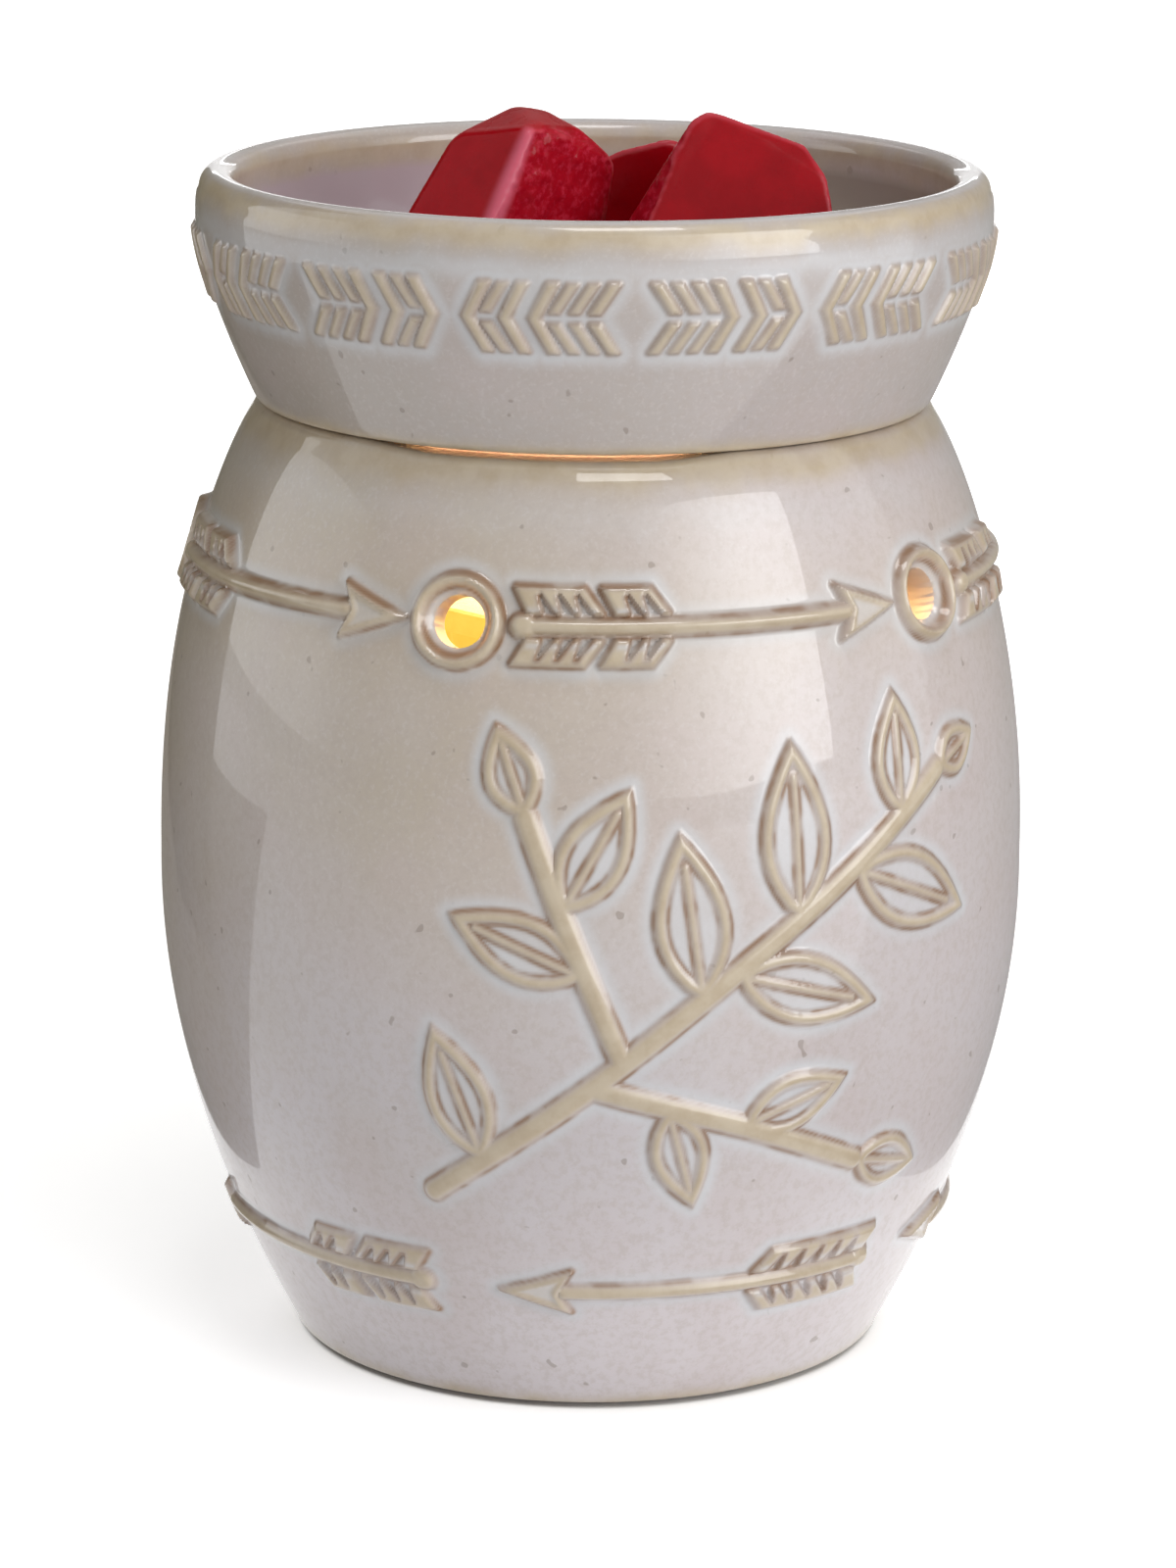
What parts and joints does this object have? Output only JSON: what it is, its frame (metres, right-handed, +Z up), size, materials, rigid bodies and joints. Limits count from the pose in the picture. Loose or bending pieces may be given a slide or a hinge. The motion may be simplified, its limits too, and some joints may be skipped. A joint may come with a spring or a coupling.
{
  "type": "electric fragrance lamp",
  "caption": "Glazed ceramic electric wax warmer: a pierced barrel lit by a bulb inside, with a lift-off dish of scented wax chunks on top.",
  "frame": {"origin": "on the table surface under the centre of the lamp, at the undersides of the rubber feet", "axes": "+Z up along the lamp's axis; -Y to the front, midway between two light holes; +X to the right seen from the front; the cord outlet is at the back, +Y"},
  "size_m": [0.1212, 0.1221, 0.1731],
  "materials": {
    "glaze": "gloss",
    "red_wax": "satin",
    "sheet_steel": "satin",
    "zinc_screw": "polished",
    "black_rubber": "matte",
    "holder_ceramic": "matte",
    "terminal_plastic": "satin",
    "terminal_brass": "satin",
    "lead_brown": "satin",
    "lead_blue": "satin",
    "reflector_glass": "polished",
    "clear_glass": "gloss",
    "lit_capsule": "gloss"
  },
  "bodies": {
    "barrel": {"barrel_shell": "glaze", "cord_grommet": "black_rubber", "base_plate": "sheet_steel", "base_clip_1": "sheet_steel", "base_clip_2": "sheet_steel", "base_clip_3": "sheet_steel", "base_screw_1": "zinc_screw", "base_screw_2": "zinc_screw", "base_screw_3": "zinc_screw", "rubber_foot_1": "black_rubber", "rubber_foot_2": "black_rubber", "rubber_foot_3": "black_rubber", "lamp_bracket": "sheet_steel", "bracket_screw_1": "zinc_screw", "bracket_screw_2": "zinc_screw", "lamp_holder": "holder_ceramic", "holder_cap": "holder_ceramic", "holder_screw_1": "zinc_screw", "holder_screw_2": "zinc_screw", "terminal_block": "terminal_plastic", "terminal_screw_1": "terminal_brass", "terminal_screw_2": "terminal_brass", "terminal_screw_3": "terminal_brass", "terminal_screw_4": "terminal_brass", "lead_live": "lead_brown", "lead_neutral": "lead_blue"},
    "dish": {"fragrance_dish": "glaze", "wax_melt_left": "red_wax", "wax_melt_middle": "red_wax", "wax_melt_right": "red_wax"},
    "bulb": {"bulb_base": "holder_ceramic", "bulb_pin_1": "zinc_screw", "bulb_pin_2": "zinc_screw", "bulb_reflector": "reflector_glass", "bulb_front_glass": "clear_glass", "bulb_capsule": "lit_capsule"}
  },
  "joints": [
    {"name": "dish_lift", "type": "slide", "parent": "barrel", "child": "dish", "axis": [0, 0, 1], "range_m": [0, 0.08]},
    {"name": "bulb_twist", "type": "hinge", "parent": "barrel", "child": "bulb", "pos_m": [0, 0, 0.0604], "axis": [0, 0, 1], "range_deg": [0, 25]}
  ]
}
